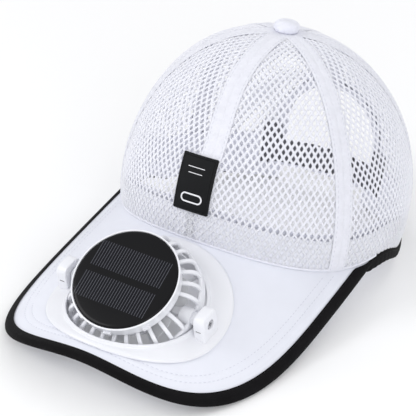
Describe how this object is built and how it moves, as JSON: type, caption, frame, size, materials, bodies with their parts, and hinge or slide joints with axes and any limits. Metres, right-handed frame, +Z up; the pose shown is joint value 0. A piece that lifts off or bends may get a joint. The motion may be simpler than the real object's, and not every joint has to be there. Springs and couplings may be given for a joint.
{
  "type": "solar fan hat",
  "caption": "White net peaked cap with black bindings, an open back with a strap, and a tilting solar-powered fan set into its peak.",
  "frame": {"origin": "middle of the footprint, on the surface that the cap lies on", "axes": "+Z up, -Y the wearer's front with the peak, +X the wearer's left; the cap lies on the corners of its peak and on the back of its hem"},
  "size_m": [0.1896, 0.3042, 0.1531],
  "materials": {
    "net": "open net cloth, matt",
    "white_cloth": "woven cloth, matt",
    "black_cloth": "woven cloth, matt",
    "white_plastic": "moulded, satin",
    "grey_plastic": "moulded, satin",
    "label_rubber": "soft, matt",
    "solar_glaze": "polished",
    "steel": "plated"
  },
  "bodies": {
    "cap": {"panel_front_left": "net", "panel_front_right": "net", "panel_side_left": "net", "panel_side_right": "net", "panel_back_left": "net", "panel_back_right": "net", "seam_tape_front": "white_cloth", "seam_tape_left_front": "white_cloth", "seam_tape_right_front": "white_cloth", "seam_tape_left_back": "white_cloth", "seam_tape_right_back": "white_cloth", "seam_tape_back": "white_cloth", "hem_facing": "white_cloth", "sweatband": "white_cloth", "hem_binding_left": "black_cloth", "hem_binding_right": "black_cloth", "arch_binding": "white_cloth", "strap_left": "black_cloth", "strap_right": "black_cloth", "top_button": "white_cloth", "peak": "white_cloth", "peak_binding": "black_cloth", "label_patch": "label_rubber", "label_capsule": "white_plastic", "fan_flange": "white_plastic", "fan_retainer": "white_plastic", "pivot_block_left": "white_plastic", "pivot_block_right": "white_plastic", "pivot_screw_left": "steel", "pivot_screw_right": "steel"},
    "fan_head": {"fan_cage": "white_plastic", "panel_frame": "white_plastic", "solar_disc": "solar_glaze", "fan_motor": "grey_plastic", "lower_guard": "white_plastic"},
    "impeller": {"impeller": "grey_plastic"}
  },
  "joints": [
    {"name": "fan_tilt", "type": "hinge", "parent": "cap", "child": "fan_head", "pos_m": [0, -0.09365, 0.03505], "axis": [1, 0, 0], "range_deg": [-40, 8]},
    {"name": "fan_spin", "type": "hinge", "parent": "fan_head", "child": "impeller", "pos_m": [0, -0.09365, 0.03505], "axis": [0, -0.5401, 0.8416], "continuous": true}
  ]
}
